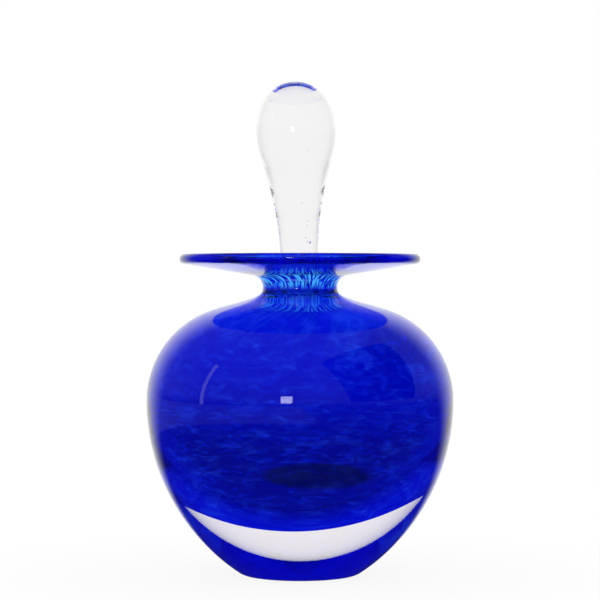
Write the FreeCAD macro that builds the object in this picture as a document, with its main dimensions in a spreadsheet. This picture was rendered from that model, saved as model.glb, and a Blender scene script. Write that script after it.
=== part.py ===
"""Blown glass scent bottle: clear casing, blue lining and a ground glass stopper, in millimetres.

The bottle stands on z = 0 with its axis on Z. Its two glass layers are revolved outlines that share one
contact surface. The stopper is a revolved drop whose taper seats in the ground bore of the neck, and both
lean a little about the middle of the neck, as the hand-ground joint does.
"""
import FreeCAD, Part
import enum
import math
import os

import Sketcher
from FreeCAD import Placement, Rotation, Vector

DIMENSIONS = {
    # Outer outline of the clear casing
    "base_radius": 13.7,
    "base_edge_radius": 4.7,
    "belly_radius": 40.6,
    "belly_height": 46.2,
    "shoulder_radius": 25.2,
    "throat_radius": 4.3,
    "neck_radius": 9.9,
    "neck_length": 0.5,
    # Flared lip
    "flare_radius": 3.2,
    "lip_rise": 9.3,
    "lip_radius": 31.9,
    "lip_thickness": 2.6,
    "lip_casing": 1.3,
    # Contact surface between the layers, and the blue layer inside it
    "casing_wall": 6.0,
    "neck_casing": 3.4,
    "base_thickness": 20.0,
    "bubble_flank_radius": 6.0,
    "lining_wall": 1.2,
    "pilot_radius": 3.4,
    "cavity_throat_radius": 8.0,
    # Ground joint of the neck and the stopper
    "lean": 1.5,
    "mouth_depth": 0.8,
    "mouth_bevel": 45.0,
    "bore_radius": 4.665,
    "joint_taper": 2.86,
    "joint_clearance": 0.06,
    # Stopper, measured from the mouth of the bore
    "peg_length": 13.4,
    "peg_round": 1.4,
    "stem_radius": 98.0,
    "knob_lower_radius": 26.0,
    "knob_radius": 10.5,
    "knob_rise": 37.9,
    "cap_radius": 9.7,
    "stopper_rise": 50.7,
}

DERIVED = {
    # Height of the neck's upper end, above the throat that rounds the shoulder into the neck
    "throat_across": "=neck_radius + throat_radius - belly_radius + shoulder_radius",
    "throat_rise": "=sqrt((shoulder_radius + throat_radius) ^ 2 - throat_across ^ 2)",
    "neck_height": "=belly_height + throat_rise + neck_length",
    # Height of the lip's dished top over the bore, and of the bore's mouth a bevel below it
    "dish_across": "=bore_radius - neck_radius - flare_radius * (1 - sin(lip_rise * 1deg))",
    "dish_rise": "=dish_across * tan(lip_rise * 1deg) + lip_thickness / cos(lip_rise * 1deg)",
    "mouth_height": "=neck_height + flare_radius * cos(lip_rise * 1deg) + dish_rise - mouth_depth",
    "peg_height": "=mouth_height - peg_length",
    "knob_height": "=mouth_height + knob_rise",
    "stopper_top": "=mouth_height + stopper_rise",
    # Radius of the contact surface where it flares into the lip, so that it stays parallel to the underside
    "contact_flare_radius": "=flare_radius + (lip_casing - neck_casing * sin(lip_rise * 1deg))"
                            " / (1 - sin(lip_rise * 1deg))",
    "rim_radius": "=lip_thickness / 2",
    # Peg radius where its rounded end starts
    "peg_start": "=peg_height + peg_round",
    "peg_radius": "=bore_radius - joint_clearance - (mouth_height - peg_start) * tan(joint_taper * 1deg)",
}


class Spot(enum.IntEnum):
    """Numbers of an outline's upright axis and origin, and of a piece's start, end and centre."""

    V_AXIS = -2
    ORIGIN = -1
    START = 1
    END = 2
    CENTRE = 3


V_AXIS, ORIGIN = int(Spot.V_AXIS), int(Spot.ORIGIN)
START, END, CENTRE = int(Spot.START), int(Spot.END), int(Spot.CENTRE)

doc = FreeCAD.newDocument("scent_bottle")
sheet = doc.addObject("Spreadsheet::Sheet", "dims")


def fill_sheet():
    """Write the driving sizes and the sizes worked out from them, one row each."""
    for row, (alias, value) in enumerate({**DIMENSIONS, **DERIVED}.items(), start=1):
        sheet.set(f"A{row}", alias)
        sheet.set(f"B{row}", str(value))
        sheet.setAlias(f"B{row}", alias)
    doc.recompute()


def size(alias):
    """Return a size of the sheet as a plain number."""
    return float(sheet.get(alias))


class Outline:
    """A closed outline in a body's XZ plane, drawn piece by piece and bound to the sheet."""

    def __init__(self, body, name):
        """Attach an empty sketch to the body's own XZ plane."""
        self.sketch = body.newObject("Sketcher::SketchObject", name)
        plane = next(f for f in body.Origin.OriginFeatures if f.Role == "XZ_Plane")
        self.sketch.AttachmentSupport = [(plane, "")]
        self.sketch.MapMode = "FlatFace"
        self.ends = []

    def line(self, start, end):
        """Draw a straight piece and return its number."""
        number = self.sketch.addGeometry(Part.LineSegment(Vector(*start), Vector(*end)), False)
        self.ends.append((START, END))
        return number

    def arc(self, centre, start, end):
        """Draw the shorter arc round a centre from start to end and return its number."""
        first = math.atan2(start[1] - centre[1], start[0] - centre[0])
        last = math.atan2(end[1] - centre[1], end[0] - centre[0])
        turn = (last - first + math.pi) % (2 * math.pi) - math.pi
        circle = Part.Circle(Vector(*centre), Vector(0, 0, 1), math.dist(centre, start))
        if turn > 0:
            curve, ends = Part.ArcOfCircle(circle, first, first + turn), (START, END)
        else:
            curve, ends = Part.ArcOfCircle(circle, first + turn, first), (END, START)
        number = self.sketch.addGeometry(curve, False)
        self.ends.append(ends)
        return number

    def begin(self, piece):
        """Return the reference to the end where a piece begins."""
        return piece, self.ends[piece][0]

    def finish(self, piece):
        """Return the reference to the end where a piece finishes."""
        return piece, self.ends[piece][1]

    def add(self, kind, *items):
        """Add a constraint."""
        return self.sketch.addConstraint(Sketcher.Constraint(kind, *items))

    def smooth(self, piece, following):
        """Join two pieces end to end with a shared tangent."""
        self.add("Tangent", *self.finish(piece), *self.begin(following))

    def corner(self, piece, following):
        """Join two pieces end to end."""
        self.add("Coincident", *self.finish(piece), *self.begin(following))

    def bind(self, kind, items, expression, value):
        """Add a constraint whose value is an expression on the sheet."""
        number = self.add(kind, *items, value)
        self.sketch.setExpression(f"Constraints[{number}]", expression)

    def radius(self, piece, expression, value):
        """Bind an arc's radius."""
        self.bind("Radius", (piece,), expression, value)

    def across(self, point, expression, value):
        """Bind a point's distance from the axis."""
        self.bind("DistanceX", (ORIGIN, START, *point), expression, value)

    def up(self, point, expression, value):
        """Bind a point's height."""
        self.bind("DistanceY", (ORIGIN, START, *point), expression, value)

    def slope(self, piece, expression, degrees):
        """Bind a line's angle from level."""
        self.bind("Angle", (piece,), expression, math.radians(degrees))

    def on_axis(self, point):
        """Put a point on the axis of revolution."""
        self.add("PointOnObject", *point, V_AXIS)


def cell(alias):
    """Return the expression that reads a size of the sheet."""
    return f"dims.{alias}"


def towards(start, end, distance):
    """Return the point at a distance from start in the direction of end."""
    share = distance / math.dist(start, end)
    return start[0] + (end[0] - start[0]) * share, start[1] + (end[1] - start[1]) * share


def revolve(body, outline, name, kind="PartDesign::Revolution"):
    """Revolve an outline fully about its own upright axis, to add or to cut."""
    feature = body.newObject(kind, name)
    feature.Profile = outline.sketch
    feature.ReferenceAxis = (outline.sketch, ["V_Axis"])
    feature.Angle = 360.0
    outline.sketch.Visibility = False
    doc.recompute()
    return feature


def new_body(label):
    """Start a sub-part."""
    body = doc.addObject("PartDesign::Body", label)
    body.Label = label
    return body


def joint_height(inner_radius, inner_centre, neck, throat):
    """Return the height of the throat arc's centre above the belly, tangent to shoulder and neck."""
    reach = inner_radius + throat
    return math.sqrt(reach ** 2 - (neck + throat - inner_centre[0]) ** 2)


class Wall:
    """Places on one wall of the bottle, from the bottom on the axis up to the neck.

    The wall is the bubble's outer face (offset 0) or the cavity's (offset lining_wall).
    """

    def __init__(self, offset):
        """Work out where the arcs of the wall meet."""
        self.offset = offset
        self.radius = size("belly_radius") - size("casing_wall") - offset
        self.bottom = (0.0, size("base_thickness") + offset)
        belly = size("belly_height")
        self.belly = (self.radius, belly)
        self.flank = size("bubble_flank_radius") - offset
        self.flank_centre = (self.radius - self.flank, belly)
        drop = belly - self.bottom[1]
        across = self.flank_centre[0]
        self.round = (across ** 2 + drop ** 2 - self.flank ** 2) / (2 * (drop - self.flank))
        self.round_centre = (0.0, self.bottom[1] + self.round)
        share = self.flank / (self.round - self.flank)
        self.turn = (across + across * share, belly + (belly - self.round_centre[1]) * share)
        self.shoulder_centre = (size("belly_radius") - size("shoulder_radius"), belly)
        self.shoulder = size("shoulder_radius") - size("casing_wall") - offset

    def crown(self, neck, throat):
        """Return the throat arc's centre and the point where it meets the shoulder."""
        rise = joint_height(self.shoulder, self.shoulder_centre, neck, throat)
        centre = (neck + throat, self.belly[1] + rise)
        return centre, towards(self.shoulder_centre, centre, self.shoulder)


def lip_places():
    """Return the unit directions along and square to the lip, and the rim's centre."""
    rise = math.radians(size("lip_rise"))
    along = (math.cos(rise), math.sin(rise))
    square = (-math.sin(rise), math.cos(rise))
    flare = size("flare_radius")
    centre = (size("neck_radius") + flare, size("neck_height"))
    touch = (centre[0] + flare * square[0], centre[1] + flare * square[1])
    rim = size("rim_radius")
    rim_x = size("lip_radius") - rim
    start_x = rim_x - rim * square[0]
    underside_end = (start_x, touch[1] + (start_x - touch[0]) * math.tan(rise))
    rim_centre = (rim_x, underside_end[1] + rim * square[1])
    return along, square, touch, underside_end, rim_centre


def contact_flare():
    """Return the centre of the contact surface's flare and the point where its lip line starts."""
    radius = size("contact_flare_radius")
    _, square, _, _, _ = lip_places()
    centre = (size("neck_radius") - size("neck_casing") + radius, size("neck_height"))
    return centre, (centre[0] + radius * square[0], centre[1] + radius * square[1])


def rim_split():
    """Return the point of the rim where the contact surface comes out."""
    along, square, _, _, centre = lip_places()
    rim = size("rim_radius")
    above = size("lip_casing") - rim
    out = math.sqrt(rim ** 2 - above ** 2)
    return (centre[0] + out * along[0] + above * square[0], centre[1] + out * along[1] + above * square[1])


def draw_contact_wall(outline, wall, neck_top):
    """Draw the contact surface from neck to bubble bottom, and return its first and last piece."""
    neck = size("neck_radius") - size("neck_casing")
    throat = size("throat_radius") + size("neck_casing")
    throat_centre, crown = wall.crown(neck, throat)
    neck_bottom = (neck, throat_centre[1])
    neck_line = outline.line((neck, neck_top), neck_bottom)
    throat_arc = outline.arc(throat_centre, neck_bottom, crown)
    shoulder_arc = outline.arc(wall.shoulder_centre, crown, wall.belly)
    flank_arc = outline.arc(wall.flank_centre, wall.belly, wall.turn)
    bottom_arc = outline.arc(wall.round_centre, wall.turn, wall.bottom)
    outline.smooth(neck_line, throat_arc)
    outline.smooth(throat_arc, shoulder_arc)
    outline.smooth(shoulder_arc, flank_arc)
    outline.smooth(flank_arc, bottom_arc)
    outline.add("Vertical", neck_line)
    outline.across(outline.begin(neck_line), "dims.neck_radius - dims.neck_casing", neck)
    outline.up(outline.begin(neck_line), cell("neck_height"), neck_top)
    outline.radius(throat_arc, "dims.throat_radius + dims.neck_casing", throat)
    outline.radius(shoulder_arc, "dims.shoulder_radius - dims.casing_wall", wall.shoulder)
    bind_belly(outline, shoulder_arc, "dims.belly_radius - dims.casing_wall", wall.belly)
    outline.radius(flank_arc, cell("bubble_flank_radius"), wall.flank)
    bind_bottom(outline, bottom_arc, cell("base_thickness"), wall.bottom[1])
    return neck_line, bottom_arc


def bind_belly(outline, shoulder_arc, expression, belly):
    """Fix the widest point, with the shoulder's centre level with it."""
    outline.across(outline.finish(shoulder_arc), expression, belly[0])
    outline.up(outline.finish(shoulder_arc), cell("belly_height"), belly[1])
    outline.up((shoulder_arc, CENTRE), cell("belly_height"), belly[1])


def bind_bottom(outline, bottom_arc, expression, height):
    """Centre a bottom arc on the axis and fix the height of its lowest point."""
    outline.on_axis((bottom_arc, CENTRE))
    outline.on_axis(outline.finish(bottom_arc))
    outline.up(outline.finish(bottom_arc), expression, height)


def draw_contact_lip(outline, neck_line):
    """Draw the contact surface from the rim in to the neck, and return its first piece."""
    centre, lip_start = contact_flare()
    neck_top = (size("neck_radius") - size("neck_casing"), size("neck_height"))
    lip_line = outline.line(rim_split(), lip_start)
    flare_arc = outline.arc(centre, lip_start, neck_top)
    outline.smooth(lip_line, flare_arc)
    outline.smooth(flare_arc, neck_line)
    outline.radius(flare_arc, cell("contact_flare_radius"), size("contact_flare_radius"))
    return lip_line


def make_clear_casing():
    """The outer gather of clear glass: thick flat base, body wall, neck and underside of the lip."""
    body = new_body("clear_casing")
    outline = Outline(body, "casing_outline")
    base, edge = size("base_radius"), size("base_edge_radius")
    belly = (size("belly_radius"), size("belly_height"))
    out = belly[0] - base
    flank = (out ** 2 + belly[1] ** 2 - 2 * belly[1] * edge) / (2 * (out - edge))
    flank_centre = (belly[0] - flank, belly[1])
    edge_centre = (base, edge)
    edge_end = towards(flank_centre, edge_centre, flank)
    shoulder, throat, neck = size("shoulder_radius"), size("throat_radius"), size("neck_radius")
    shoulder_centre = (belly[0] - shoulder, belly[1])
    throat_centre = (neck + throat, belly[1] + joint_height(shoulder, shoulder_centre, neck, throat))
    crown = towards(shoulder_centre, throat_centre, shoulder)
    neck_top = (neck, size("neck_height"))
    flare_centre = (neck + size("flare_radius"), size("neck_height"))
    _, _, touch, underside_end, rim_centre = lip_places()

    base_line = outline.line((0.0, 0.0), (base, 0.0))
    edge_arc = outline.arc(edge_centre, (base, 0.0), edge_end)
    flank_arc = outline.arc(flank_centre, edge_end, belly)
    shoulder_arc = outline.arc(shoulder_centre, belly, crown)
    throat_arc = outline.arc(throat_centre, crown, (neck, throat_centre[1]))
    neck_line = outline.line((neck, throat_centre[1]), neck_top)
    flare_arc = outline.arc(flare_centre, neck_top, touch)
    underside = outline.line(touch, underside_end)
    rim_arc = outline.arc(rim_centre, underside_end, rim_split())
    pieces = (base_line, edge_arc, flank_arc, shoulder_arc, throat_arc,
              neck_line, flare_arc, underside, rim_arc)
    for piece, following in zip(pieces, pieces[1:]):
        outline.smooth(piece, following)

    outline.add("Coincident", *outline.begin(base_line), ORIGIN, START)
    outline.add("Horizontal", base_line)
    outline.across(outline.finish(base_line), cell("base_radius"), base)
    outline.radius(edge_arc, cell("base_edge_radius"), edge)
    outline.across(outline.finish(flank_arc), cell("belly_radius"), belly[0])
    outline.up(outline.finish(flank_arc), cell("belly_height"), belly[1])
    outline.up((flank_arc, CENTRE), cell("belly_height"), belly[1])
    outline.radius(shoulder_arc, cell("shoulder_radius"), shoulder)
    outline.radius(throat_arc, cell("throat_radius"), throat)
    outline.add("Vertical", neck_line)
    outline.across(outline.finish(neck_line), cell("neck_radius"), neck)
    outline.up(outline.finish(neck_line), cell("neck_height"), neck_top[1])
    outline.radius(flare_arc, cell("flare_radius"), size("flare_radius"))
    outline.slope(underside, "dims.lip_rise * 1deg", size("lip_rise"))
    outline.radius(rim_arc, cell("rim_radius"), size("rim_radius"))
    outline.across((rim_arc, CENTRE), "dims.lip_radius - dims.rim_radius", rim_centre[0])

    wall = Wall(0.0)
    contact_neck, contact_bottom = draw_contact_wall(outline, wall, neck_top[1])
    contact_lip = draw_contact_lip(outline, contact_neck)
    outline.add("Parallel", underside, contact_lip)
    outline.corner(rim_arc, contact_lip)
    axis_line = outline.line(wall.bottom, (0.0, 0.0))
    outline.corner(contact_bottom, axis_line)
    outline.add("Coincident", *outline.finish(axis_line), ORIGIN, START)
    revolve(body, outline, "casing_glass")
    return body


def make_blue_lining():
    """The inner layer of blue glass: the bubble, the neck with its ground bore and the top of the lip."""
    body = new_body("blue_lining")
    outline = Outline(body, "lining_outline")
    wall, cavity = Wall(0.0), Wall(size("lining_wall"))
    along, square, _, _, rim_centre = lip_places()
    rim = size("rim_radius")
    pilot, throat = size("pilot_radius"), size("cavity_throat_radius")
    top_start = (rim_centre[0] + rim * square[0], rim_centre[1] + rim * square[1])
    mouth = (pilot, top_start[1] - (top_start[0] - pilot) * along[1] / along[0])
    throat_centre, crown = cavity.crown(pilot, throat)
    pilot_bottom = (pilot, throat_centre[1])

    contact_neck, contact_bottom = draw_contact_wall(outline, wall, size("neck_height"))
    contact_lip = draw_contact_lip(outline, contact_neck)
    rim_arc = outline.arc(rim_centre, top_start, rim_split())
    lip_top = outline.line(mouth, top_start)
    pilot_line = outline.line(pilot_bottom, mouth)
    throat_arc = outline.arc(throat_centre, crown, pilot_bottom)
    shoulder_arc = outline.arc(cavity.shoulder_centre, crown, cavity.belly)
    flank_arc = outline.arc(cavity.flank_centre, cavity.belly, cavity.turn)
    bottom_arc = outline.arc(cavity.round_centre, cavity.turn, cavity.bottom)
    axis_line = outline.line(wall.bottom, cavity.bottom)

    outline.slope(contact_lip, "dims.lip_rise * 1deg + 180deg", size("lip_rise") + 180.0)
    outline.corner(rim_arc, contact_lip)
    outline.smooth(lip_top, rim_arc)
    outline.corner(pilot_line, lip_top)
    outline.smooth(throat_arc, pilot_line)
    outline.add("Tangent", *outline.begin(throat_arc), *outline.begin(shoulder_arc))
    outline.smooth(shoulder_arc, flank_arc)
    outline.smooth(flank_arc, bottom_arc)
    outline.corner(contact_bottom, axis_line)
    outline.add("Coincident", *outline.finish(bottom_arc), *outline.finish(axis_line))

    outline.radius(rim_arc, cell("rim_radius"), rim)
    outline.across((rim_arc, CENTRE), "dims.lip_radius - dims.rim_radius", rim_centre[0])
    outline.add("Parallel", lip_top, contact_lip)
    lining_lip = size("lip_thickness") - size("lip_casing")
    lip_step = (*outline.begin(rim_arc), contact_lip)
    outline.bind("Distance", lip_step, "dims.lip_thickness - dims.lip_casing", lining_lip)
    outline.add("Vertical", pilot_line)
    outline.across(outline.begin(pilot_line), cell("pilot_radius"), pilot)
    outline.radius(throat_arc, cell("cavity_throat_radius"), throat)
    walls = "dims.casing_wall - dims.lining_wall"
    outline.radius(shoulder_arc, f"dims.shoulder_radius - {walls}", cavity.shoulder)
    bind_belly(outline, shoulder_arc, f"dims.belly_radius - {walls}", cavity.belly)
    outline.radius(flank_arc, "dims.bubble_flank_radius - dims.lining_wall", cavity.flank)
    bind_bottom(outline, bottom_arc, "dims.base_thickness + dims.lining_wall", cavity.bottom[1])
    revolve(body, outline, "lining_glass")
    cut_ground_bore(body)
    return body


def cut_ground_bore(body):
    """Grind the tapered bore through the neck, leaning about the middle of the neck."""
    outline = Outline(body, "bore_outline")
    lean = size("lean")
    height = size("neck_height")
    offset = Placement(Vector(0, 0, 0), Rotation(Vector(0, 0, 1), lean), Vector(0, height, 0))
    outline.sketch.AttachmentOffset = offset
    outline.sketch.setExpression("AttachmentOffset.Base.x", "dims.neck_height * sin(dims.lean * 1deg)")
    outline.sketch.setExpression("AttachmentOffset.Base.y", "dims.neck_height * (1 - cos(dims.lean * 1deg))")
    outline.sketch.setExpression("AttachmentOffset.Rotation.Angle", "dims.lean * 1deg")
    low, mouth, rise = size("peg_height"), size("mouth_height"), size("neck_radius")
    high = mouth + rise
    taper = math.tan(math.radians(size("joint_taper")))
    bore, bevel = size("bore_radius"), size("mouth_bevel")
    foot = (bore - (mouth - low) * taper, low)
    flare = (bore + rise / math.tan(math.radians(bevel)), high)

    foot_line = outline.line((0.0, low), foot)
    taper_line = outline.line(foot, (bore, mouth))
    bevel_line = outline.line((bore, mouth), flare)
    top_line = outline.line(flare, (0.0, high))
    axis_line = outline.line((0.0, high), (0.0, low))
    pieces = (foot_line, taper_line, bevel_line, top_line, axis_line, foot_line)
    for piece, following in zip(pieces, pieces[1:]):
        outline.corner(piece, following)
    outline.add("Horizontal", foot_line)
    outline.add("Horizontal", top_line)
    outline.on_axis(outline.begin(foot_line))
    outline.on_axis(outline.begin(axis_line))
    outline.up(outline.begin(foot_line), cell("peg_height"), low)
    outline.up(outline.finish(taper_line), cell("mouth_height"), mouth)
    outline.across(outline.finish(taper_line), cell("bore_radius"), bore)
    outline.slope(taper_line, "90deg - dims.joint_taper * 1deg", 90.0 - size("joint_taper"))
    outline.slope(bevel_line, "dims.mouth_bevel * 1deg", bevel)
    outline.up(outline.begin(top_line), "dims.mouth_height + dims.neck_radius", high)
    revolve(body, outline, "ground_bore", "PartDesign::Groove")


def make_stopper():
    """The solid drop of clear glass: rounded knob, drawn stem, ground taper and rounded peg."""
    body = new_body("stopper")
    outline = Outline(body, "stopper_outline")
    top, cap = size("stopper_top"), size("cap_radius")
    knob = (size("knob_radius"), size("knob_height"))
    cap_centre = (0.0, top - cap)
    rise = cap_centre[1] - knob[1]
    side = (knob[0] ** 2 + rise ** 2 - cap ** 2) / (2 * (knob[0] - cap))
    side_centre = (knob[0] - side, knob[1])
    cap_end = towards(side_centre, cap_centre, side)
    lower = size("knob_lower_radius")
    lower_centre = (knob[0] - lower, knob[1])
    stem = size("stem_radius")
    taper = math.radians(size("joint_taper"))
    peg = (size("peg_radius"), size("peg_start"))
    # The stem arc's centre lies beside the taper line and at a fixed distance from the knob's lower arc.
    line_along = (math.sin(taper), math.cos(taper))
    line_out = (math.cos(taper), -math.sin(taper))
    to_peg = (peg[0] + stem * line_out[0] - lower_centre[0], peg[1] + stem * line_out[1] - lower_centre[1])
    dot = to_peg[0] * line_along[0] + to_peg[1] * line_along[1]
    gap = to_peg[0] ** 2 + to_peg[1] ** 2 - (lower + stem) ** 2
    run = -dot - math.sqrt(dot ** 2 - gap)
    stem_end = (peg[0] + run * line_along[0], peg[1] + run * line_along[1])
    stem_centre = (stem_end[0] + stem * line_out[0], stem_end[1] + stem * line_out[1])
    stem_start = towards(lower_centre, stem_centre, lower)
    end_round = size("peg_round")
    round_centre = (peg[0] - end_round * line_out[0], peg[1] - end_round * line_out[1])
    round_end = (round_centre[0], round_centre[1] - end_round)

    cap_arc = outline.arc(cap_centre, (0.0, top), cap_end)
    side_arc = outline.arc(side_centre, cap_end, knob)
    lower_arc = outline.arc(lower_centre, knob, stem_start)
    stem_arc = outline.arc(stem_centre, stem_start, stem_end)
    taper_line = outline.line(stem_end, peg)
    round_arc = outline.arc(round_centre, peg, round_end)
    foot_line = outline.line(round_end, (0.0, round_end[1]))
    axis_line = outline.line((0.0, round_end[1]), (0.0, top))
    pieces = (cap_arc, side_arc, lower_arc, stem_arc, taper_line, round_arc, foot_line)
    for piece, following in zip(pieces, pieces[1:]):
        outline.smooth(piece, following)
    outline.corner(foot_line, axis_line)
    outline.corner(axis_line, cap_arc)

    outline.on_axis(outline.begin(cap_arc))
    outline.on_axis((cap_arc, CENTRE))
    outline.up(outline.begin(cap_arc), cell("stopper_top"), top)
    outline.radius(cap_arc, cell("cap_radius"), cap)
    outline.across(outline.finish(side_arc), cell("knob_radius"), knob[0])
    outline.up(outline.finish(side_arc), cell("knob_height"), knob[1])
    outline.up((side_arc, CENTRE), cell("knob_height"), knob[1])
    outline.radius(lower_arc, cell("knob_lower_radius"), lower)
    outline.radius(stem_arc, cell("stem_radius"), stem)
    outline.across(outline.finish(taper_line), cell("peg_radius"), peg[0])
    outline.up(outline.finish(taper_line), cell("peg_start"), peg[1])
    outline.slope(taper_line, "270deg - dims.joint_taper * 1deg", 270.0 - size("joint_taper"))
    outline.radius(round_arc, cell("peg_round"), end_round)
    outline.add("Horizontal", foot_line)
    outline.on_axis(outline.finish(foot_line))
    revolve(body, outline, "stopper_glass")

    tilt = Rotation(Vector(0, -1, 0), size("lean"))
    body.Placement = Placement(Vector(0, 0, 0), tilt, Vector(0, 0, size("neck_height")))
    body.setExpression("Placement.Base.x", "dims.neck_height * sin(dims.lean * 1deg)")
    body.setExpression("Placement.Base.z", "dims.neck_height * (1 - cos(dims.lean * 1deg))")
    body.setExpression("Placement.Rotation.Angle", "dims.lean * 1deg")
    return body


def check(parts):
    """Stop if any object failed or any sub-part is not one sound solid."""
    doc.recompute()
    for item in doc.Objects:
        if any(state in ("Invalid", "Error") for state in item.State):
            raise RuntimeError(f"{item.Label} failed: {item.State}")
    for part in parts:
        shape = part.Shape
        if shape.isNull() or not shape.isValid() or len(shape.Solids) != 1:
            raise RuntimeError(f"{part.Label} is not one sound solid")


def write(parts):
    """Write each sub-part to its own file."""
    os.makedirs("parts", exist_ok=True)
    for part in parts:
        part.Shape.exportStep(f"parts/{part.Label}.step")
        print(part.Label, round(part.Shape.Volume, 1), part.Shape.BoundBox)


fill_sheet()
sub_parts = [make_clear_casing(), make_blue_lining(), make_stopper()]
check(sub_parts)
write(sub_parts)
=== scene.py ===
"""Looks of a blown glass scent bottle: clear casing, blue lining and ground stopper, on a white set."""
import logging
import math
from collections.abc import Iterator, Mapping, Sequence
from contextlib import contextmanager
from dataclasses import dataclass, field
from enum import Enum

import bmesh
import bpy
from mathutils import Matrix, Vector


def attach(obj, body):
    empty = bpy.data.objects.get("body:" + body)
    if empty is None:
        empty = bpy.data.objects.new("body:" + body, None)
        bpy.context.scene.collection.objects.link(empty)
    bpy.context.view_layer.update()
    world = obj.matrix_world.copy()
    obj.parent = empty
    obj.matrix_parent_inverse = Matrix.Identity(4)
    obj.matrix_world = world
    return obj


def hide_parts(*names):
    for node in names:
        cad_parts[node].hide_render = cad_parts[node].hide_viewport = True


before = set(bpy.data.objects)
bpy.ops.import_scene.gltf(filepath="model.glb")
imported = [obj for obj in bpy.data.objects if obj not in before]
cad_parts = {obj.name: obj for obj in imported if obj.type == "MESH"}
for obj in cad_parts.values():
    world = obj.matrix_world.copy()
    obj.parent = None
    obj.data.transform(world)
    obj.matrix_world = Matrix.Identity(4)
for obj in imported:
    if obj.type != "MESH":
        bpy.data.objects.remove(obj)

logging.basicConfig(level=logging.INFO, format="%(name)s: %(message)s")
log = logging.getLogger("scent_bottle")

MM = 0.001

Point = tuple[float, float]
Colour = tuple[float, float, float]


class Body(Enum):
    """Bodies that the pieces ride on."""

    BOTTLE = "bottle"
    STOPPER = "stopper"


class Slot(Enum):
    """Material slots of the part's record."""

    CLEAR = "clear_glass"
    BLUE = "blue_glass"
    STOPPER = "stopper_glass"


class Along(Enum):
    """Directions along which the looks vary."""

    ACROSS = "across"
    DEPTH = "depth"
    HEIGHT = "height"
    RADIUS = "radius"


class Field:
    """A value that varies over a surface: an output socket of a shader node, with arithmetic."""

    def __init__(self, graph: "Graph", socket: bpy.types.NodeSocket) -> None:
        """Wrap a socket.

        Args:
            graph: The graph that the socket belongs to.
            socket: The output socket.
        """
        self.graph = graph
        self.socket = socket

    def math(self, operation: str, first: "Value", second: "Value" = 0.0) -> "Field":
        """Combine two values in a math node.

        Args:
            operation: Name of the operation.
            first: First operand.
            second: Second operand, where the operation takes one.

        Returns:
            The result.
        """
        return self.graph.node("ShaderNodeMath", {"operation": operation}, {0: first, 1: second})

    def __add__(self, other: "Value") -> "Field":
        """Return self + other."""
        return self.math("ADD", self, other)

    def __radd__(self, other: "Value") -> "Field":
        """Return other + self."""
        return self.math("ADD", other, self)

    def __sub__(self, other: "Value") -> "Field":
        """Return self - other."""
        return self.math("SUBTRACT", self, other)

    def __rsub__(self, other: "Value") -> "Field":
        """Return other - self."""
        return self.math("SUBTRACT", other, self)

    def __mul__(self, other: "Value") -> "Field":
        """Return self * other."""
        return self.math("MULTIPLY", self, other)

    def __rmul__(self, other: "Value") -> "Field":
        """Return other * self."""
        return self.math("MULTIPLY", other, self)

    def __truediv__(self, other: "Value") -> "Field":
        """Return self / other."""
        return self.math("DIVIDE", self, other)

    def __rtruediv__(self, other: "Value") -> "Field":
        """Return other / self."""
        return self.math("DIVIDE", other, self)

    def __pow__(self, power: float) -> "Field":
        """Return self to a power."""
        return self.math("POWER", self, power)

    def __or__(self, other: "Value") -> "Field":
        """Return the larger of the two."""
        return self.math("MAXIMUM", self, other)

    def rise(self, low: float, high: float) -> "Field":
        """Return a smooth step from 0 to 1.

        Args:
            low: Value where the step starts.
            high: Value where it ends. Below low, the step falls.

        Returns:
            The step.
        """
        settings = {"interpolation_type": "SMOOTHSTEP"}
        return self.graph.node("ShaderNodeMapRange", settings, {0: self, 1: low, 2: high})


Value = Field | float | Sequence[float]


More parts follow.
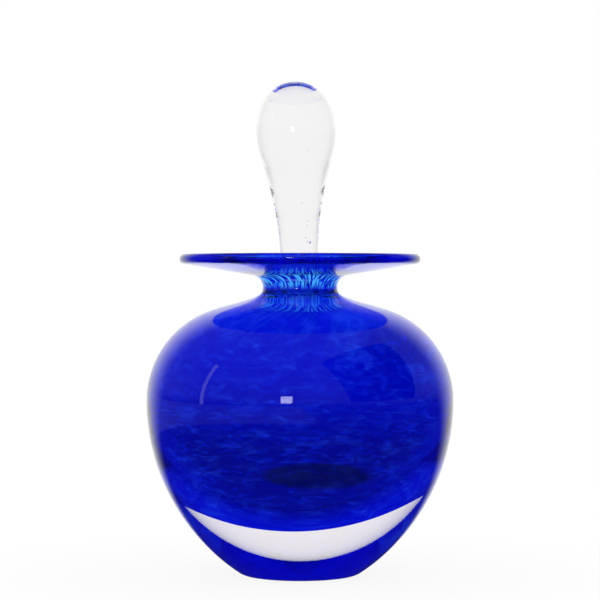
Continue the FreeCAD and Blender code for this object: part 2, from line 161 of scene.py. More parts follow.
class Graph:
    """The node graph of one material or of the world."""

    def __init__(self, tree: bpy.types.NodeTree) -> None:
        """Start from an empty graph.

        Args:
            tree: The node tree, which is emptied.
        """
        self.tree = tree
        tree.nodes.clear()

    def node(self, kind: str, settings: Mapping[str, object] | None = None,
             inputs: Mapping[str | int, Value] | None = None, output: str | int = 0) -> Field:
        """Add a node.

        Args:
            kind: Node type.
            settings: Node properties by name.
            inputs: Constant values and fields by socket.
            output: The output to return.

        Returns:
            The named output.
        """
        made = self.tree.nodes.new(kind)
        for name, value in (settings or {}).items():
            setattr(made, name, value)
        for name, value in (inputs or {}).items():
            if isinstance(value, Field):
                self.tree.links.new(value.socket, made.inputs[name])
            else:
                made.inputs[name].default_value = value
        socket = made.outputs[output] if made.outputs else None
        return Field(self, socket)

    def place(self, kind: str = "Object") -> Field:
        """Return a coordinate of the shaded point.

        Args:
            kind: Which coordinate.

        Returns:
            The coordinate, as a vector.
        """
        return self.node("ShaderNodeTexCoord", output=kind)

    def split(self, vector: Field) -> tuple[Field, Field, Field]:
        """Return the three components of a vector.

        Args:
            vector: The vector.

        Returns:
            Its x, y and z.
        """
        parts = self.node("ShaderNodeSeparateXYZ", inputs={0: vector}).socket.node.outputs
        return Field(self, parts[0]), Field(self, parts[1]), Field(self, parts[2])

    def stretch(self, vector: Field, scale: Sequence[float]) -> Field:
        """Return a vector scaled axis by axis.

        Args:
            vector: The vector.
            scale: Factor for each axis.

        Returns:
            The scaled vector.
        """
        return self.node("ShaderNodeVectorMath", {"operation": "MULTIPLY"}, {0: vector, 1: scale})

    def noise(self, vector: Field, scale: float, detail: float, warp: float = 0.0) -> Field:
        """Return a cloud pattern from 0 to 1.

        Args:
            vector: Where it is read.
            scale: Clouds per metre.
            detail: Octaves of finer clouds.
            warp: How much the pattern is swirled.

        Returns:
            The pattern.
        """
        inputs = {"Vector": vector, "Scale": scale, "Detail": detail, "Distortion": warp}
        return self.node("ShaderNodeTexNoise", inputs=inputs)

    def blend(self, share: Value, first: Value, second: Value) -> Field:
        """Return a mix of two colours.

        Args:
            share: Share of the second colour.
            first: First colour.
            second: Second colour.

        Returns:
            The mix.
        """
        colours = {0: share, 6: first, 7: second}
        return self.node("ShaderNodeMix", {"data_type": "RGBA"}, colours, output=2)

    def surface(self, shader: Field, kind: str = "ShaderNodeOutputMaterial") -> None:
        """Send a shader to the output.

        Args:
            shader: The shader.
            kind: Output node type.
        """
        self.node(kind, inputs={"Surface": shader})


def opaque(colour: Colour) -> tuple[float, float, float, float]:
    """Return a colour with full opacity.

    Args:
        colour: Linear red, green and blue.

    Returns:
        The colour with a fourth component of 1.
    """
    return (*colour, 1.0)


@dataclass(frozen=True)
class Glass:
    """Polished glass that bends light."""

    name: str
    colour: Colour = (1.0, 1.0, 1.0)
    index: float = 1.5
    roughness: float = 0.0

    def material(self) -> bpy.types.Material:
        """Return a new material.

        Returns:
            The material.
        """
        made = bpy.data.materials.new(self.name)
        made.use_nodes = True
        graph = Graph(made.node_tree)
        graph.surface(self.shader(graph))
        return made

    def shader(self, graph: Graph) -> Field:
        """Return the shader.

        Args:
            graph: Graph to add nodes to.

        Returns:
            The shader's output.
        """
        return graph.node("ShaderNodeBsdfPrincipled", inputs=self.sockets(graph))

    def sockets(self, graph: Graph) -> dict[str | int, Value]:
        """Return the shader's inputs.

        Args:
            graph: Graph to add nodes to; not used here.

        Returns:
            Inputs by socket name.
        """
        return {"Base Color": opaque(self.colour), "Roughness": self.roughness, "IOR": self.index,
                "Transmission Weight": 1.0}


@dataclass(frozen=True)
class FusedFace(Glass):
    """The casing's inner face, fused to the lining: light goes straight on."""

    def sockets(self, graph: Graph) -> dict[str | int, Value]:
        """Return the shader's inputs.

        Args:
            graph: Graph to add nodes to; not used here.

        Returns:
            Inputs by socket name.
        """
        return {"Base Color": opaque(self.colour), "Alpha": 0.0}


@dataclass(frozen=True)
class Zone:
    """A part of the glass with soft edges.

    Each step holds a direction and where the zone starts and is full, in millimetres.
    """

    steps: tuple[tuple[Along, float, float], ...]
    share: float = 1.0

    def cover(self, place: Mapping[Along, Field]) -> Field:
        """Return how far the zone covers the shaded point.

        Args:
            place: Coordinates of the point, in metres.

        Returns:
            The cover, from 0 to the zone's share.
        """
        cover: Value = self.share
        for along, start, full in self.steps:
            cover = cover * place[along].rise(start * MM, full * MM)
        return cover


@dataclass(frozen=True)
class Pattern:
    """A cloud pattern, flattened in height, of which the brighter part is kept."""

    flatten: float
    scale: float
    detail: float
    warp: float
    low: float
    high: float

    def field(self, graph: Graph, vector: Field) -> Field:
        """Return the pattern.

        Args:
            graph: Graph to add nodes to.
            vector: Where it is read.

        Returns:
            The pattern, from 0 to 1.
        """
        flat = graph.stretch(vector, (1.0, 1.0, self.flatten))
        return graph.noise(flat, self.scale, self.detail, self.warp).rise(self.low, self.high)


@dataclass(frozen=True)
class BlueLayer(Glass):
    """The blue layer: a tint that varies from place to place, with painted shade, a painted dark spot and a
    painted bright band under the lip; clouds, wisps, and threads drawn up the neck with a painted glow.
    """

    index: float = 1.0
    colour: Colour = (0.0008, 0.0040, 0.66)
    # Painted shade: a darker blue laid on the lower front, the upper right front and the lip's root.
    shade_blue: Colour = (0.0008, 0.0012, 0.12)
    # Painted shade: a near-black spot on the lower front, where the glass shows dark.
    shade_spot: Colour = (0.0010, 0.0012, 0.02)
    # Painted reflection: a brighter, clearer blue for the band under the lip, where the lip hides the glare.
    reflection_band_blue: Colour = (0.0008, 0.0150, 0.80)
    lip: Colour = (0.0015, 0.0120, 0.95)
    pale: Colour = (0.012, 0.060, 0.98)
    # Where the painted shade lies: the lower front, the front near the base and the upper right front.
    lower_front_shade: Zone = Zone(((Along.HEIGHT, 62.0, 34.0), (Along.DEPTH, 2.0, -20.0)))
    lower_edge_shade: Zone = Zone(((Along.HEIGHT, 27.0, 21.0), (Along.DEPTH, -2.0, -12.0)), 0.6)
    right_front_shade: Zone = Zone(
        ((Along.ACROSS, 2.0, 22.0), (Along.HEIGHT, 72.0, 62.0), (Along.DEPTH, 2.0, -14.0)), 0.6)
    # Where the painted reflection band lies, on the shoulder under the lip.
    crown: Zone = Zone(((Along.HEIGHT, 60.0, 67.0), (Along.HEIGHT, 76.0, 69.0)))
    lip_disc: Zone = Zone(((Along.HEIGHT, 79.0, 81.0), (Along.RADIUS, 11.0, 17.0)))
    # Painted shade at the lip's root, under the lip.
    lip_root_shade: Zone = Zone(((Along.HEIGHT, 79.8, 80.6), (Along.RADIUS, 19.0, 13.0)))
    # Where the painted dark spot lies, on the front only.
    shade_spot_side: Zone = Zone(((Along.DEPTH, 0.0, -5.0),))
    shade_spot_place: Point = (3.6, 30.0)
    shade_spot_size: Point = (13.0, 3.2)
    shade_spot_edge: Point = (1.1, 0.6)
    clouds: Pattern = Pattern(flatten=2.4, scale=170.0, detail=6.0, warp=0.9, low=0.50, high=0.68)
    cloud_share: float = 0.40
    upper_clouds: Zone = Zone(((Along.HEIGHT, 48.0, 62.0),), 0.40)
    wisps: Pattern = Pattern(flatten=4.5, scale=210.0, detail=6.0, warp=1.1, low=0.54, high=0.66)
    wisp_share: float = 0.45
    # How much less the clouds show where the painted shade and the painted dark spot lie.
    shade_calm: float = 0.62
    shade_spot_calm: float = 0.8
    streaks: Pattern = Pattern(flatten=20.0, scale=13.0, detail=2.0, warp=0.3, low=0.45, high=0.60)
    twist: float = 24.0
    neck: Zone = Zone(((Along.HEIGHT, 75.2, 78.0), (Along.RADIUS, 13.5, 10.0)), 0.95)
    shoulder: Zone = Zone(((Along.HEIGHT, 54.0, 68.0), (Along.HEIGHT, 79.0, 77.0)), 0.02)
    thread: Colour = (0.10, 0.55, 1.0)
    thread_roughness: float = 0.6
    # Painted glow: the threads give off light of their own, as if lit from behind.
    thread_painted_glow: Colour = (0.05, 0.42, 0.80)

    def shader(self, graph: Graph) -> Field:
        """Return the shader: tinted glass, with pale threads drawn up from the shoulder into the lip, which
        carry a painted glow.

        Args:
            graph: Graph to add nodes to.

        Returns:
            The shader's output.
        """
        vector = graph.place()
        across, depth, height = graph.split(vector)
        radius = (across * across + depth * depth) ** 0.5
        place = {Along.ACROSS: across, Along.DEPTH: depth, Along.HEIGHT: height, Along.RADIUS: radius}
        tinted = self.sockets(graph) | {"Base Color": self.tint(graph, vector, place)}
        glass = graph.node("ShaderNodeBsdfPrincipled", inputs=tinted)
        # The threads: matt enamel with a painted glow.
        matt = {"Base Color": opaque(self.thread), "Roughness": self.thread_roughness,
                "Specular IOR Level": 0.0, "Emission Color": opaque(self.thread_painted_glow),
                "Emission Strength": 1.0}
        thread_with_glow = graph.node("ShaderNodeBsdfPrincipled", inputs=matt)
        return graph.node("ShaderNodeMixShader", inputs={0: self.threads(graph, place), 1: glass, 2: thread_with_glow})

    def tint(self, graph: Graph, vector: Field, place: Mapping[Along, Field]) -> Field:
        """Return the colour of the glass, with painted shade, a painted dark spot and a painted bright band
        under the lip.

        Args:
            graph: Graph to add nodes to.
            vector: The shaded point.
            place: Its coordinates.

        Returns:
            The colour.
        """
        # Painted shade: darker blue over the lower front, the front near the base and the upper right front.
        front = self.lower_front_shade.cover(place) | self.lower_edge_shade.cover(place) | self.right_front_shade.cover(place)
        tint = graph.blend(front, opaque(self.colour), opaque(self.shade_blue))
        # Painted reflection: brighter, clearer blue in the band under the lip.
        tint = graph.blend(self.crown.cover(place), tint, opaque(self.reflection_band_blue))
        tint = graph.blend(self.lip_disc.cover(place), tint, opaque(self.lip))
        # Painted shade under the lip, at its root.
        tint = graph.blend(self.lip_root_shade.cover(place), tint, opaque(self.shade_blue))
        # Painted shade: a near-black oval spot low on the front.
        beside = (place[Along.ACROSS] - self.shade_spot_place[0] * MM) / (self.shade_spot_size[0] * MM)
        above = (place[Along.HEIGHT] - self.shade_spot_place[1] * MM) / (self.shade_spot_size[1] * MM)
        shade_spot = (beside ** 2.0 + above ** 2.0).rise(*self.shade_spot_edge) * self.shade_spot_side.cover(place)
        tint = graph.blend(shade_spot, tint, opaque(self.shade_spot))
        clouds = self.clouds.field(graph, vector) * (self.cloud_share + self.upper_clouds.cover(place))
        mottle = clouds + self.wisps.field(graph, vector) * self.wisp_share
        # Fewer clouds where the painted shade and the painted dark spot lie.
        calm = (1.0 - front * self.shade_calm) * (1.0 - shade_spot * self.shade_spot_calm)
        return graph.blend(mottle * calm, tint, opaque(self.pale))

    def threads(self, graph: Graph, place: Mapping[Along, Field]) -> Field:
        """Return the share of the pale threads, which turn about the axis as they climb.

        Args:
            graph: Graph to add nodes to.
            place: Coordinates of the shaded point.

        Returns:
            The share.
        """
        across, depth, height, radius = (place[along] for along in Along)
        turn = radius * self.twist
        cosine, sine = turn.math("COSINE", turn), turn.math("SINE", turn)
        drawn = {0: (across * cosine - depth * sine) / radius, 1: (across * sine + depth * cosine) / radius,
                 2: height}
        streaks = self.streaks.field(graph, graph.node("ShaderNodeCombineXYZ", inputs=drawn))
        return streaks * (self.neck.cover(place) + self.shoulder.cover(place))


@dataclass(frozen=True)
class GroundGlass(Glass):
    """Clear glass with a ground band between two heights."""

    band_low: float = 66.0 * MM
    band_high: float = 80.4 * MM
    band_edge: float = 0.4 * MM
    ground: float = 0.15

    def sockets(self, graph: Graph) -> dict[str | int, Value]:
        """Return the shader's inputs.

        Args:
            graph: Graph to add nodes to.

        Returns:
            Inputs by socket name.
        """
        _, _, height = graph.split(graph.place())
        above = height.rise(self.band_low, self.band_low + self.band_edge)
        below = height.rise(self.band_high, self.band_high - self.band_edge)
        return super().sockets(graph) | {"Roughness": above * below * self.ground}


def towards(start: Point, end: Point, distance: float) -> Point:
    """Return the point at a distance from start in the direction of end.

    Args:
        start: Where to start.
        end: Where to head.
        distance: How far to go.

    Returns:
        The point.
    """
    share = distance / math.dist(start, end)
    return start[0] + (end[0] - start[0]) * share, start[1] + (end[1] - start[1]) * share


def arc(centre: Point, start: Point, end: Point, step: float = 2.5) -> list[Point]:
    """Return points along the shorter arc from start to end.

    Args:
        centre: Centre of the arc.
        start: First point.
        end: Last point.
        step: Angle between points, in degrees.

    Returns:
        The points, both ends included.
    """
    first = math.atan2(start[1] - centre[1], start[0] - centre[0])
    last = math.atan2(end[1] - centre[1], end[0] - centre[0])
    turn = (last - first + math.pi) % (2 * math.pi) - math.pi
    count = max(2, math.ceil(abs(math.degrees(turn)) / step))
    radius = math.dist(centre, start)
    angles = [first + turn * number / count for number in range(count + 1)]
    return [(centre[0] + radius * math.cos(a), centre[1] + radius * math.sin(a)) for a in angles]


def line(start: Point, end: Point, count: int = 1) -> list[Point]:
    """Return points along a straight line.

    Args:
        start: First point.
        end: Last point.
        count: How many stretches.

    Returns:
        The points, both ends included.
    """
    length = math.dist(start, end)
    return [start] + [towards(start, end, length * number / count) for number in range(1, count)] + [end]


def sweep(start: Point, first: Point, second: Point, end: Point, count: int = 24) -> list[Point]:
    """Return points along a curve that is pulled towards two points.

    Args:
        start: First point of the curve.
        first: Point that pulls its start.
        second: Point that pulls its end.
        end: Last point of the curve.
        count: How many stretches.

    Returns:
        The points, both ends included.
    """
    points = []
    for number in range(count + 1):
        go = number / count
        back = 1.0 - go
        weights = (back ** 3, 3 * back ** 2 * go, 3 * back * go ** 2, go ** 3)
        corners = (start, first, second, end)
        points.append(tuple(sum(w * c[axis] for w, c in zip(weights, corners)) for axis in (0, 1)))
    return points


def chain(*runs: list[Point]) -> list[Point]:
    """Join runs of points end to end.

    Args:
        runs: Runs that each start where the one before ended.

    Returns:
        All points, each shared end once.
    """
    return [*runs[0], *(point for run in runs[1:] for point in run[1:])]


@dataclass
class Lathe:
    """A mesh turned about the Z axis, section by section, each section with its own finish."""

    name: str
    turns: int = 192
    crease: float = 28.0
    weld_distance: float = 0.0005
    finishes: list[Glass] = field(default_factory=list)

    def __post_init__(self) -> None:
        """Start an empty mesh."""
        self.mesh = bmesh.new()

    @contextmanager
    def dressed(self, finish: Glass) -> Iterator[None]:
        """Give the faces made inside the block a finish.

        Args:
            finish: The finish.

        Yields:
            Nothing.
        """
        known = set(self.mesh.faces)
        yield
        if finish not in self.finishes:
            self.finishes.append(finish)
        for face in self.mesh.faces:
            if face not in known:
                face.material_index = self.finishes.index(finish)

    def turn(self, points: list[Point], finish: Glass) -> list[bmesh.types.BMVert]:
        """Turn an outline fully about the axis.

        Args:
            points: Distance from the axis and height of each point, in millimetres.
            finish: Finish of the section.

        Returns:
            The new vertices.
        """
        known = set(self.mesh.verts)
        with self.dressed(finish):
            verts = [self.mesh.verts.new((across * MM, 0.0, up * MM)) for across, up in points]
            edges = [self.mesh.edges.new(pair) for pair in zip(verts, verts[1:])]
            bmesh.ops.spin(self.mesh, geom=verts + edges, axis=(0, 0, 1), cent=(0, 0, 0), angle=2 * math.pi,
                           steps=self.turns, use_merge=True)
        return [vert for vert in self.mesh.verts if vert not in known]

    def seed(self, place: Vector, radius: float, finish: Glass) -> None:
        """Add a small round air bubble in the glass.

        Args:
            place: Its centre, in millimetres.
            radius: Its radius, in millimetres.
            finish: Finish of its wall.
        """
        known = set(self.mesh.faces)
        with self.dressed(finish):
            bmesh.ops.create_icosphere(self.mesh, subdivisions=2, radius=radius * MM,
                                       matrix=Matrix.Translation(place * MM))
        inward = [face for face in self.mesh.faces if face not in known]
        bmesh.ops.reverse_faces(self.mesh, faces=inward)

    def weld(self) -> None:
        """Join the sections and point the faces outwards."""
        bmesh.ops.remove_doubles(self.mesh, verts=self.mesh.verts, dist=self.weld_distance * MM)
        bmesh.ops.recalc_face_normals(self.mesh, faces=self.mesh.faces)

    def piece(self) -> bpy.types.Object:
        """Return the finished piece.

        Returns:
            The object, linked to the scene.
        """
        for face in self.mesh.faces:
            face.smooth = True
        for edge in self.mesh.edges:
            edge.smooth = not edge.is_manifold or edge.calc_face_angle() < math.radians(self.crease)
        data = bpy.data.meshes.new(self.name)
        self.mesh.to_mesh(data)
        self.mesh.free()
        for finish in self.finishes:
            data.materials.append(finish.material())
        made = bpy.data.objects.new(self.name, data)
        bpy.context.scene.collection.objects.link(made)
        log.info("%s: %d faces", self.name, len(data.polygons))
        return made


@dataclass(frozen=True)
class GroundJoint:
    """The tapered joint of neck and stopper, which leans a little about the middle of the neck."""

    neck_height: float = 76.176
    lean: float = 1.5
    mouth_height: float = 79.872
    mouth_radius: float = 4.665
    taper: float = 2.86
    clearance: float = 0.06

    def bore(self, height: float) -> float:
        """Return the bore's radius at a height.

        Args:
            height: The height.

        Returns:
            The radius.
        """
        return self.mouth_radius - (self.mouth_height - height) * math.tan(math.radians(self.taper))

    def tilt(self) -> Matrix:
        """Return the turn that leans a piece with the joint.

        Returns:
            The turn, as a matrix.
        """
        pivot = Matrix.Translation((0.0, 0.0, self.neck_height * MM))
        return pivot @ Matrix.Rotation(-math.radians(self.lean), 4, "Y") @ pivot.inverted()

    def shift(self, vert: bmesh.types.BMVert, inner: float, outer: float) -> None:
        """Move a vertex of the neck's inside along with the lean, less and less further out.

        Args:
            vert: The vertex.
            inner: Distance from the axis up to which it moves fully.
            outer: Distance from the axis where it stays.
        """
        across = math.hypot(vert.co.x, vert.co.y) / MM
        share = min(1.0, max(0.0, (outer - across) / (outer - inner)))
        vert.co.x -= share * math.tan(math.radians(self.lean)) * (vert.co.z - self.neck_height * MM)


@dataclass(frozen=True)
class Layer:
    """One wall of the bottle inside its outer face: the contact of the layers, or the cavity."""

    belly: Point
    bottom: float
    flank: float
    shoulder: float
    shoulder_centre: Point
    neck: float
    throat: float

    def throat_centre(self) -> Point:
        """Return the centre of the arc between shoulder and neck.

        Returns:
            The centre.
        """
        across = self.neck + self.throat
        rise = math.sqrt((self.shoulder + self.throat) ** 2 - (across - self.shoulder_centre[0]) ** 2)
        return across, self.shoulder_centre[1] + rise

    def below_throat(self) -> list[Point]:
        """Return the outline from the throat down to the bottom on the axis.

        Returns:
            The points.
        """
        crown = towards(self.shoulder_centre, self.throat_centre(), self.shoulder)
        flank_centre = (self.belly[0] - self.flank, self.belly[1])
        drop = self.belly[1] - self.bottom
        round_ = (flank_centre[0] ** 2 + drop ** 2 - self.flank ** 2) / (2 * (drop - self.flank))
        round_centre = (0.0, self.bottom + round_)
        turn = towards(flank_centre, round_centre, -self.flank)
        return chain(arc(self.shoulder_centre, crown, self.belly), arc(flank_centre, self.belly, turn),
                     arc(round_centre, turn, (0.0, self.bottom), step=1.5))

    def throat_from(self, height: float) -> list[Point]:
        """Return the throat arc from a height down to the shoulder.

        Args:
            height: Height of the first point.

        Returns:
            The points.
        """
        centre = self.throat_centre()
        crown = towards(self.shoulder_centre, centre, self.shoulder)
        first = (centre[0] - math.sqrt(self.throat ** 2 - (height - centre[1]) ** 2), height)
        return arc(centre, first, crown)


@dataclass
class Bottle:
    """The bottle: a blue layer of glass inside a clear casing with a thick base and a flared lip."""

    joint: GroundJoint
    base: float = 13.7
    base_edge: float = 4.7
    belly: Point = (40.6, 46.2)
    shoulder: float = 25.2
    throat: float = 4.3
    throat_top: float = 75.68
    throat_pull: float = 2.6
    crown_angle: float = 18.5
    crown_pull: float = 7.5
    neck: float = 9.9
    flare: float = 3.2
    lip_rise: float = 9.3
    lip_radius: float = 31.9
    lip_thickness: float = 2.6
    lip_casing: float = 1.3
    casing_wall: float = 6.0
    neck_casing: float = 3.4
    base_thickness: float = 20.0
    bubble_flank: float = 6.0
    bubble_tilt: float = 2.0
    bubble_sag: float = 18.0
    lining_wall: float = 1.2
    cavity_throat: float = 8.0
    pilot: float = 3.4
    throat_step: float = 0.05
    lean_margin: float = 0.5
    gap: float = 0.06
    clear: Glass = Glass("clear glass", colour=(0.93, 0.90, 0.93))
    fused: Glass = FusedFace("fused face")
    blue: Glass = BlueLayer("blue layer")
    blue_skin: Glass = Glass("blue lip", colour=(0.04, 0.08, 0.97))
    ground: Glass = Glass("ground bore", roughness=0.15)
    inside: Glass = Glass("cavity wall", index=1.12)

    def __post_init__(self) -> None:
        """Work out the lip's directions and the centre of its rim."""
        rise = math.radians(self.lip_rise)
        self.along = Vector((math.cos(rise), math.sin(rise)))
        self.square = Vector((-math.sin(rise), math.cos(rise)))
        self.flare_centre = Vector((self.neck + self.flare, self.joint.neck_height))
        self.underside_start = self.flare_centre + self.flare * self.square
        self.rim = self.lip_thickness / 2
        start = self.lip_radius - self.rim - self.rim * self.square.x
        rise_run = (start - self.underside_start.x) * math.tan(rise)
        self.underside_end = Vector((start, self.underside_start.y + rise_run))
        self.rim_centre = self.underside_end + self.rim * self.square

    def rim_point(self, depth: float) -> Point:
        """Return the point of the rim at a depth above the lip's underside.

        Args:
            depth: Distance from the underside.

        Returns:
            The point on the rounded edge.
        """
        above = depth - self.rim
        out = math.sqrt(self.rim ** 2 - above ** 2)
        return tuple(self.rim_centre + out * self.along + above * self.square)

    def wall(self, offset: float, neck: float, throat: float) -> Layer:
        """Return the wall at an offset inside the contact of the layers.

        Args:
            offset: How far inside.
            neck: Radius of its neck.
            throat: Radius of the arc between its shoulder and its neck.

        Returns:
            The wall.
        """
        inside = self.casing_wall + offset
        return Layer((self.belly[0] - inside, self.belly[1]), self.base_thickness + offset,
                     self.bubble_flank - offset, self.shoulder - inside,
                     (self.belly[0] - self.shoulder, self.belly[1]), neck, throat)

    def outer(self) -> list[Point]:
        """Return the outer outline, from the base on the axis up to the rim.

        Returns:
            The points.
        """
        out = self.belly[0] - self.base
        height = self.belly[1]
        flank = (out ** 2 + height ** 2 - 2 * height * self.base_edge) / (2 * (out - self.base_edge))
        flank_centre = (self.belly[0] - flank, height)
        edge_centre = (self.base, self.base_edge)
        edge_end = towards(flank_centre, edge_centre, flank)
        shoulder_centre = (self.belly[0] - self.shoulder, self.belly[1])
        turn = math.radians(self.crown_angle)
        crown = (shoulder_centre[0] + self.shoulder * math.sin(turn), height + self.shoulder * math.cos(turn))
        pull = (crown[0] - self.crown_pull * math.cos(turn), crown[1] + self.crown_pull * math.sin(turn))
        neck_low, neck_high = (self.neck, self.throat_top), (self.neck, self.joint.neck_height)
        start, end = tuple(self.underside_start), tuple(self.underside_end)
        return chain(line((0.0, 0.0), (self.base, 0.0), count=4),
                     arc(edge_centre, (self.base, 0.0), edge_end),
                     arc(flank_centre, edge_end, self.belly, step=1.5),
                     arc(shoulder_centre, self.belly, crown),
                     sweep(crown, pull, (self.neck, neck_low[1] - self.throat_pull), neck_low),
                     line(neck_low, neck_high, count=2),
                     arc(tuple(self.flare_centre), neck_high, start), line(start, end, count=6),
                     arc(tuple(self.rim_centre), end, self.rim_point(self.lip_casing), step=8.0))

    def contact(self, gap: float) -> list[Point]:
        """Return the contact of the layers, from the rim down to the bubble's bottom.

        Args:
            gap: How far out of the contact, towards the casing.

        Returns:
            The points.
        """
        casing = self.neck_casing - gap
        depth = self.lip_casing - gap
        slope = self.square.x
        flare = self.flare + (depth + casing * slope) / (1 + slope)
        neck_high = (self.neck - casing, self.joint.neck_height)
        centre = Vector((neck_high[0] + flare, neck_high[1]))
        lip_start = tuple(centre + flare * self.square)
        wall = self.wall(-gap, neck_high[0], self.throat + casing)
        neck_low = (neck_high[0], wall.throat_centre()[1])
        return chain(line(self.rim_point(depth), lip_start, count=6),
                     arc(tuple(centre), lip_start, neck_high), line(neck_high, neck_low, count=2),
                     wall.throat_from(neck_low[1]), wall.below_throat())

    def sag(self, verts: list[bmesh.types.BMVert]) -> None:
        """Tilt the bubble's bottom a little, as it came off the pipe.

        Args:
            verts: Vertices of one wall of the bubble.
        """
        slope = math.tan(math.radians(self.bubble_tilt))
        for vert in verts:
            share = min(1.0, max(0.0, (self.belly[1] * MM - vert.co.z) / (self.bubble_sag * MM)))
            vert.co.z += slope * share * vert.co.x

    def build_casing(self) -> bpy.types.Object:
        """Turn the clear casing.

        Returns:
            The piece.
        """
        lathe = Lathe("casing")
        lathe.turn(self.outer(), self.clear)
        self.sag(lathe.turn(self.contact(self.gap), self.fused))
        lathe.weld()
        return lathe.piece()

    def build_lining(self) -> bpy.types.Object:
        """Turn the blue lining, with the leaning ground bore.

        Returns:
            The piece.
        """
        lathe = Lathe("lining")
        self.sag(lathe.turn(self.contact(0.0), self.blue))
        joint = self.joint
        top_start = self.rim_centre + self.rim * self.square
        slope = self.along.y / self.along.x
        # The bevel climbs at 45 degrees from the bore's mouth to the dished top of the lip.
        drop = top_start.y - (top_start.x - joint.mouth_radius) * slope - joint.mouth_height
        bevel = drop / (1 - slope)
        mouth = (joint.mouth_radius, joint.mouth_height)
        bevel_top = (mouth[0] + bevel, mouth[1] + bevel)
        cavity = self.wall(self.lining_wall, self.pilot, self.cavity_throat)
        centre = cavity.throat_centre()
        low = centre[1]
        while centre[0] - math.sqrt(cavity.throat ** 2 - (low - centre[1]) ** 2) < joint.bore(low):
            low -= self.throat_step
        throat = cavity.throat_from(low)
        rim = arc(tuple(self.rim_centre), self.rim_point(self.lip_casing), tuple(top_start), step=8.0)
        top = chain(rim, line(tuple(top_start), bevel_top, count=8), line(bevel_top, mouth))
        verts = lathe.turn(top, self.blue_skin)
        verts += lathe.turn(line(mouth, throat[0], count=4), self.ground)
        inside = lathe.turn(chain(throat, cavity.below_throat()), self.inside)
        self.sag(inside)
        for vert in verts + inside:
            joint.shift(vert, bevel_top[0] + self.lean_margin, 2 * bevel_top[0])
        lathe.weld()
        return lathe.piece()

    def dress(self) -> None:
        """Build both layers and put them on the bottle's body."""
        pieces = {"clear_casing": (self.build_casing(), Slot.CLEAR),
                  "blue_lining": (self.build_lining(), Slot.BLUE)}
        for node, (piece, slot) in pieces.items():
            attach(piece, Body.BOTTLE.value)
            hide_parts(node)


@dataclass
class Stopper:
    """The solid stopper: rounded knob, drawn stem, ground taper and rounded peg."""

    joint: GroundJoint
    peg_height: float = 66.472
    peg_round: float = 1.4
    stem: float = 98.0
    knob_lower: float = 26.0
    knob: Point = (10.5, 117.772)
    cap: float = 9.7
    top: float = 130.572
    glass: Glass = GroundGlass("stopper glass", colour=(0.94, 0.935, 0.935))
    air: Glass = Glass("seed wall")
    seeds: tuple[tuple[float, float, float, float], ...] = (
        (2.2, -0.8, 88.0, 0.30), (1.6, -0.5, 88.3, 0.16), (1.3, -0.3, 89.4, 0.14), (1.6, 0.4, 93.9, 0.13),
        (1.6, -0.6, 92.7, 0.14), (0.7, 0.2, 98.7, 0.13), (-3.6, 0.3, 93.1, 0.13), (2.1, -1.0, 112.7, 0.15))

    def outline(self) -> list[Point]:
        """Return the outline, from the top on the axis down to the foot on the axis.

        Returns:
            The points.
        """
        cap_centre = (0.0, self.top - self.cap)
        rise = cap_centre[1] - self.knob[1]
        side = (self.knob[0] ** 2 + rise ** 2 - self.cap ** 2) / (2 * (self.knob[0] - self.cap))
        side_centre = (self.knob[0] - side, self.knob[1])
        cap_end = towards(side_centre, cap_centre, side)
        lower_centre = Vector((self.knob[0] - self.knob_lower, self.knob[1]))
        taper = math.radians(self.joint.taper)
        along = Vector((math.sin(taper), math.cos(taper)))
        out = Vector((math.cos(taper), -math.sin(taper)))
        start = self.peg_height + self.peg_round
        peg = Vector((self.joint.bore(start) - self.joint.clearance, start))
        to_peg = peg + self.stem * out - lower_centre
        dot = to_peg.dot(along)
        run = -dot - math.sqrt(dot ** 2 - to_peg.length_squared + (self.knob_lower + self.stem) ** 2)
        stem_end = peg + run * along
        stem_centre = stem_end + self.stem * out
        stem_start = towards(tuple(lower_centre), tuple(stem_centre), self.knob_lower)
        round_centre = peg - self.peg_round * out
        foot = (round_centre.x, round_centre.y - self.peg_round)
        return chain(arc(cap_centre, (0.0, self.top), cap_end), arc(side_centre, cap_end, self.knob),
                     arc(tuple(lower_centre), self.knob, stem_start, step=1.5),
                     arc(tuple(stem_centre), stem_start, tuple(stem_end), step=0.7),
                     line(tuple(stem_end), tuple(peg), count=6),
                     arc(tuple(round_centre), tuple(peg), foot, step=10.0),
                     line(foot, (0.0, foot[1]), count=2))

    def dress(self) -> None:
        """Build the stopper and put it on its body."""
        lathe = Lathe("drop_stopper")
        lathe.turn(self.outline(), self.glass)
        lathe.weld()
        for *place, radius in self.seeds:
            lathe.seed(Vector(place), radius, self.air)
        bmesh.ops.transform(lathe.mesh, matrix=self.joint.tilt(), verts=lathe.mesh.verts)
        piece = lathe.piece()
        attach(piece, Body.STOPPER.value)
        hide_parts("stopper")


@dataclass(frozen=True)
class Panel:
    """A flat panel that the glass mirrors. Strength 0 is a black flag."""

    name: str
    place: tuple[float, float, float]
    size: Point
    strength: float


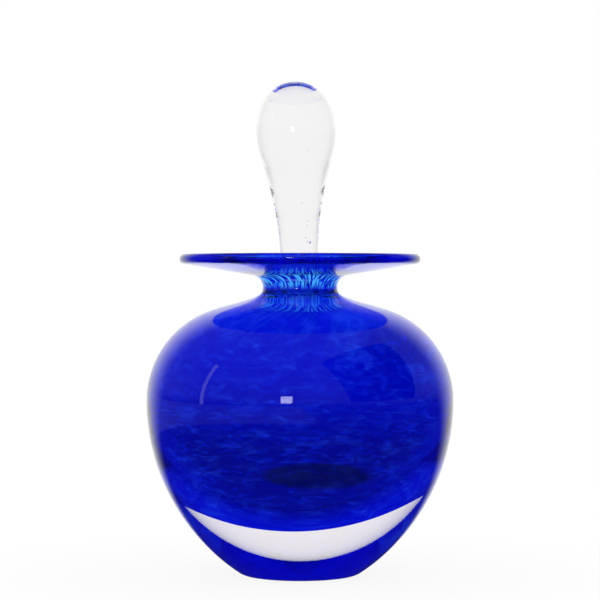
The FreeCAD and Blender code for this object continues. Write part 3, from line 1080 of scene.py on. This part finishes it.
@dataclass
class Studio:
    """The white set: floor, surroundings, panels and camera."""

    white: Colour = (1.0, 1.0, 1.0)
    side: Colour = (0.78, 0.79, 0.81)
    front_low: Colour = (0.02, 0.02, 0.02)
    front_high: Colour = (0.13, 0.14, 0.16)
    front_edge: Point = (0.92, 0.52)
    horizon: Point = (-0.05, 0.12)
    side_edge: Point = (0.75, 0.10)
    floor_radius: float = 6.0
    cloth: Colour = (0.85, 0.85, 0.85)
    cloth_roughness: float = 0.9
    shadow_edge: Point = (0.04, 0.12)
    shadow_share: float = 0.10
    table_edge: Point = (0.23, 0.27)
    table_side: Point = (0.10, 0.0)
    panels: tuple[Panel, ...] = (
        Panel("left_strip", (-0.775, -0.196, 0.30), (0.05, 0.56), 0.9),
        Panel("small_window", (-0.15, -0.887, 0.15), (0.13, 0.12), 8.0),
        Panel("right_flag", (0.725, -0.34, 0.52), (1.10, 0.95), 0.0))
    panel_target: Vector = field(default_factory=lambda: Vector((0.0, 0.0, 0.05)))
    camera_place: Vector = field(default_factory=lambda: Vector((0.0, -0.6, 0.078)))
    camera_target: Vector = field(default_factory=lambda: Vector((0.0, 0.0, 0.07274)))
    lens: float = 135.85
    near_clip: float = 0.01
    bounces: int = 40
    mirror_bounces: int = 20

    def build(self) -> None:
        """Build the whole set."""
        self.surroundings()
        self.floor()
        for panel in self.panels:
            self.hang(panel)
        self.camera()
        self.settings()

    def surroundings(self) -> None:
        """White behind the object, soft grey above the viewer and dark below."""
        world = bpy.data.worlds.new("set")
        bpy.context.scene.world = world
        world.use_nodes = True
        graph = Graph(world.node_tree)
        _, depth, up = graph.split(graph.place("Generated"))
        front = graph.blend(up.rise(*self.horizon), opaque(self.front_low), opaque(self.front_high))
        ray = graph.node("ShaderNodeLightPath").socket.node.outputs
        through = Field(graph, ray["Is Transmission Ray"])
        mirrored = Field(graph, ray["Is Glossy Ray"]) * (1.0 - through)
        side = graph.blend(through * depth.rise(*self.side_edge), opaque(self.white), opaque(self.side))
        colour = graph.blend(mirrored * depth.rise(*self.front_edge), side, front)
        shader = graph.node("ShaderNodeBackground", inputs={"Color": colour, "Strength": 1.0})
        graph.surface(shader, "ShaderNodeOutputWorld")

    def floor(self) -> None:
        """A pale floor that melts into the white behind it and keeps a soft shadow."""
        mesh = bmesh.new()
        bmesh.ops.create_circle(mesh, cap_ends=True, segments=64, radius=self.floor_radius)
        data = bpy.data.meshes.new("floor")
        mesh.to_mesh(data)
        mesh.free()
        made = bpy.data.materials.new("floor")
        made.use_nodes = True
        graph = Graph(made.node_tree)
        ray = graph.node("ShaderNodeLightPath").socket.node.outputs
        through = Field(graph, ray["Is Transmission Ray"])
        shown = Field(graph, ray["Is Camera Ray"]) | through
        mirrored = Field(graph, ray["Is Glossy Ray"]) * (1.0 - through)
        across, depth, _ = graph.split(graph.place())
        distance = (across * across + depth * depth) ** 0.5
        cloth = {"Base Color": opaque(self.cloth), "Roughness": self.cloth_roughness,
                 "Specular IOR Level": 0.0}
        matt = graph.node("ShaderNodeBsdfPrincipled", inputs=cloth)
        glow = graph.node("ShaderNodeEmission", inputs={"Color": opaque(self.white), "Strength": 1.0})
        far = distance.rise(*self.shadow_edge) * self.shadow_share + (1.0 - self.shadow_share)
        lit = graph.node("ShaderNodeMixShader", inputs={0: shown * far, 1: matt, 2: glow})
        table = distance.rise(*self.table_edge) * across.rise(*self.table_side)
        dusk = graph.blend(table, opaque(self.front_low), opaque(self.front_high))
        dusk = graph.blend((depth / distance).rise(*self.front_edge), opaque(self.white), dusk)
        shade = graph.node("ShaderNodeEmission", inputs={"Color": dusk, "Strength": 1.0})
        graph.surface(graph.node("ShaderNodeMixShader", inputs={0: mirrored, 1: lit, 2: shade}))
        data.materials.append(made)
        floor = bpy.data.objects.new("floor", data)
        bpy.context.scene.collection.objects.link(floor)

    def hang(self, panel: Panel) -> None:
        """Add a panel that faces the object and shows in reflections alone.

        Args:
            panel: The panel.
        """
        mesh = bmesh.new()
        bmesh.ops.create_grid(mesh, x_segments=1, y_segments=1, size=0.5)
        bmesh.ops.scale(mesh, vec=(*panel.size, 1.0), verts=mesh.verts)
        place = Vector(panel.place)
        aim = (self.panel_target - place).to_track_quat("Z", "Y").to_matrix().to_4x4()
        bmesh.ops.transform(mesh, matrix=Matrix.Translation(place) @ aim, verts=mesh.verts)
        data = bpy.data.meshes.new(panel.name)
        mesh.to_mesh(data)
        mesh.free()
        made = bpy.data.materials.new(panel.name)
        made.use_nodes = True
        graph = Graph(made.node_tree)
        glow = {"Color": opaque(self.white), "Strength": panel.strength}
        graph.surface(graph.node("ShaderNodeEmission", inputs=glow))
        data.materials.append(made)
        hung = bpy.data.objects.new(panel.name, data)
        bpy.context.scene.collection.objects.link(hung)
        hung.visible_camera = False
        hung.visible_shadow = False
        hung.visible_diffuse = False
        hung.visible_transmission = False

    def camera(self) -> None:
        """The photo's viewpoint."""
        data = bpy.data.cameras.new("camera")
        data.lens = self.lens
        data.clip_start = self.near_clip
        made = bpy.data.objects.new("camera", data)
        made.location = self.camera_place
        made.rotation_euler = (self.camera_target - self.camera_place).to_track_quat("-Z", "Y").to_euler()
        bpy.context.scene.collection.objects.link(made)
        bpy.context.scene.camera = made

    def settings(self) -> None:
        """Plain colours, and enough bounces for light to cross every glass face."""
        scene = bpy.context.scene
        scene.view_settings.view_transform = "Standard"
        scene.cycles.max_bounces = self.bounces
        scene.cycles.transmission_bounces = self.bounces
        scene.cycles.glossy_bounces = self.mirror_bounces
        scene.cycles.transparent_max_bounces = self.bounces


def main() -> None:
    """Build the bottle, its stopper and the set."""
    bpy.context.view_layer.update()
    joint = GroundJoint()
    Bottle(joint).dress()
    Stopper(joint).dress()
    Studio().build()


if __name__ == "__main__":
    main()
